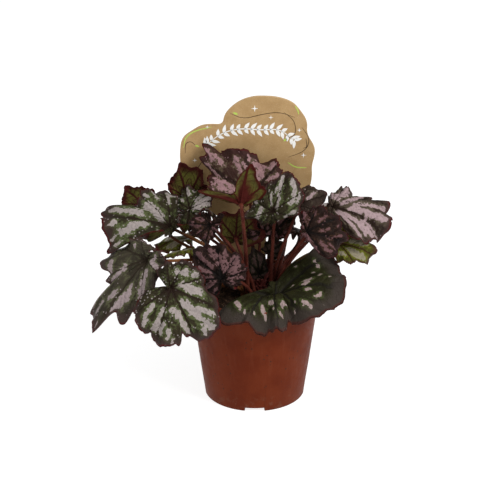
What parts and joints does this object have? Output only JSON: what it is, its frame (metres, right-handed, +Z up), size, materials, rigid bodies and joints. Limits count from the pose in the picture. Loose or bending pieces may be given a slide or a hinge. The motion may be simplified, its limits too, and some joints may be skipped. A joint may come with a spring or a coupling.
{
  "type": "potted rex begonia",
  "caption": "Rex begonia with silvery, ruffled leaves on red stalks, in a tapered terracotta-coloured plastic pot with a kraft display card behind.",
  "frame": {"origin": "middle of the pot's underside, on its centre pad, where the pot rests", "axes": "+Z up along the pot's axis; -Y is the front, where the largest leaves hang over the rim; +X is the viewer's right"},
  "size_m": [0.2654, 0.2277, 0.2697],
  "materials": {
    "pot_plastic": "satin moulded plastic, dusty",
    "potting_soil": "rough crumbly peat",
    "rhizome_skin": "rough, scaly and hairy",
    "leaf_stalk": "hairy, slightly glossy",
    "leaf_blade": "puckered, satin, silver blotches between green veins",
    "kraft_card": "matte uncoated board with printed figure"
  },
  "bodies": {
    "root": {"pot": "pot_plastic", "soil": "potting_soil", "rhizome": "rhizome_skin", "card": "kraft_card", "stalk_left_upper": "leaf_stalk", "blade_left_upper": "leaf_blade", "stalk_left_low": "leaf_stalk", "blade_left_low": "leaf_blade", "stalk_front_left": "leaf_stalk", "blade_front_left": "leaf_blade", "stalk_front_right": "leaf_stalk", "blade_front_right": "leaf_blade", "stalk_centre_front": "leaf_stalk", "blade_centre_front": "leaf_blade", "stalk_centre_small": "leaf_stalk", "blade_centre_small": "leaf_blade", "stalk_left_inner": "leaf_stalk", "blade_left_inner": "leaf_blade", "stalk_left_standing": "leaf_stalk", "blade_left_standing": "leaf_blade", "stalk_top_centre": "leaf_stalk", "blade_top_centre": "leaf_blade", "stalk_star": "leaf_stalk", "blade_star": "leaf_blade", "stalk_right_centre": "leaf_stalk", "blade_right_centre": "leaf_blade", "stalk_right_top": "leaf_stalk", "blade_right_top": "leaf_blade", "stalk_right_small": "leaf_stalk", "blade_right_small": "leaf_blade", "stalk_right_dark": "leaf_stalk", "blade_right_dark": "leaf_blade", "stalk_right_low": "leaf_stalk", "blade_right_low": "leaf_blade", "stalk_centre_back": "leaf_stalk", "blade_centre_back": "leaf_blade", "stalk_right_under": "leaf_stalk", "blade_right_under": "leaf_blade", "stalk_young": "leaf_stalk", "blade_young": "leaf_blade", "stalk_left_far": "leaf_stalk", "blade_left_far": "leaf_blade", "stalk_left_under": "leaf_stalk", "blade_left_under": "leaf_blade", "stalk_back_left": "leaf_stalk", "blade_back_left": "leaf_blade", "stalk_back_left_low": "leaf_stalk", "blade_back_left_low": "leaf_blade", "stalk_back_centre": "leaf_stalk", "blade_back_centre": "leaf_blade", "stalk_back_high": "leaf_stalk", "blade_back_high": "leaf_blade", "stalk_back_right": "leaf_stalk", "blade_back_right": "leaf_blade", "stalk_back_right_low": "leaf_stalk", "blade_back_right_low": "leaf_blade"}
  },
  "joints": []
}
